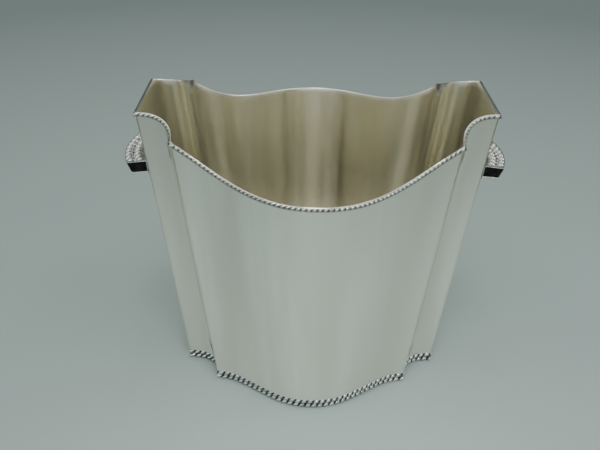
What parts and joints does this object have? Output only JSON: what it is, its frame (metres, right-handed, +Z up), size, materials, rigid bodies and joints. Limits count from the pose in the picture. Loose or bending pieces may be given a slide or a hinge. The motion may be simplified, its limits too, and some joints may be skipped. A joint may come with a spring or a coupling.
{
  "type": "champagne bucket",
  "caption": "Silver champagne bucket with a serpentine plan, a wavy rim, rope-twist borders at rim and foot, and a fixed bowed lug handle on each side.",
  "frame": {"origin": "centre of the foot, on the surface that the bucket stands on", "axes": "+X towards the right handle, -Y out of the front, +Z up"},
  "size_m": [0.2932, 0.2238, 0.23],
  "materials": {
    "body_silver": "satin silver plate, softly polished",
    "floor_silver": "satin silver plate, warm toned",
    "rope_silver": "bright polished silver",
    "handle_silver": "bright polished silver"
  },
  "bodies": {
    "root": {"front_wall": "body_silver", "front_right_cove_wall": "body_silver", "right_side_wall": "body_silver", "back_right_cove_wall": "body_silver", "back_wall": "body_silver", "back_left_cove_wall": "body_silver", "left_side_wall": "body_silver", "front_left_cove_wall": "body_silver", "floor_plate": "floor_silver", "front_rim_rope": "rope_silver", "front_right_cove_rim_rope": "rope_silver", "right_side_rim_rope": "rope_silver", "back_right_cove_rim_rope": "rope_silver", "back_rim_rope": "rope_silver", "back_left_cove_rim_rope": "rope_silver", "left_side_rim_rope": "rope_silver", "front_left_cove_rim_rope": "rope_silver", "front_foot_upper_rope": "rope_silver", "front_right_cove_foot_upper_rope": "rope_silver", "right_side_foot_upper_rope": "rope_silver", "back_right_cove_foot_upper_rope": "rope_silver", "back_foot_upper_rope": "rope_silver", "back_left_cove_foot_upper_rope": "rope_silver", "left_side_foot_upper_rope": "rope_silver", "front_left_cove_foot_upper_rope": "rope_silver", "front_foot_lower_rope": "rope_silver", "front_right_cove_foot_lower_rope": "rope_silver", "right_side_foot_lower_rope": "rope_silver", "back_right_cove_foot_lower_rope": "rope_silver", "back_foot_lower_rope": "rope_silver", "back_left_cove_foot_lower_rope": "rope_silver", "left_side_foot_lower_rope": "rope_silver", "front_left_cove_foot_lower_rope": "rope_silver", "left_handle_body": "handle_silver", "left_handle_front_plate": "handle_silver", "left_handle_back_plate": "handle_silver", "left_handle_outer_bar": "rope_silver", "left_handle_inner_bar": "rope_silver", "right_handle_body": "handle_silver", "right_handle_front_plate": "handle_silver", "right_handle_back_plate": "handle_silver", "right_handle_outer_bar": "rope_silver", "right_handle_inner_bar": "rope_silver"}
  },
  "joints": []
}
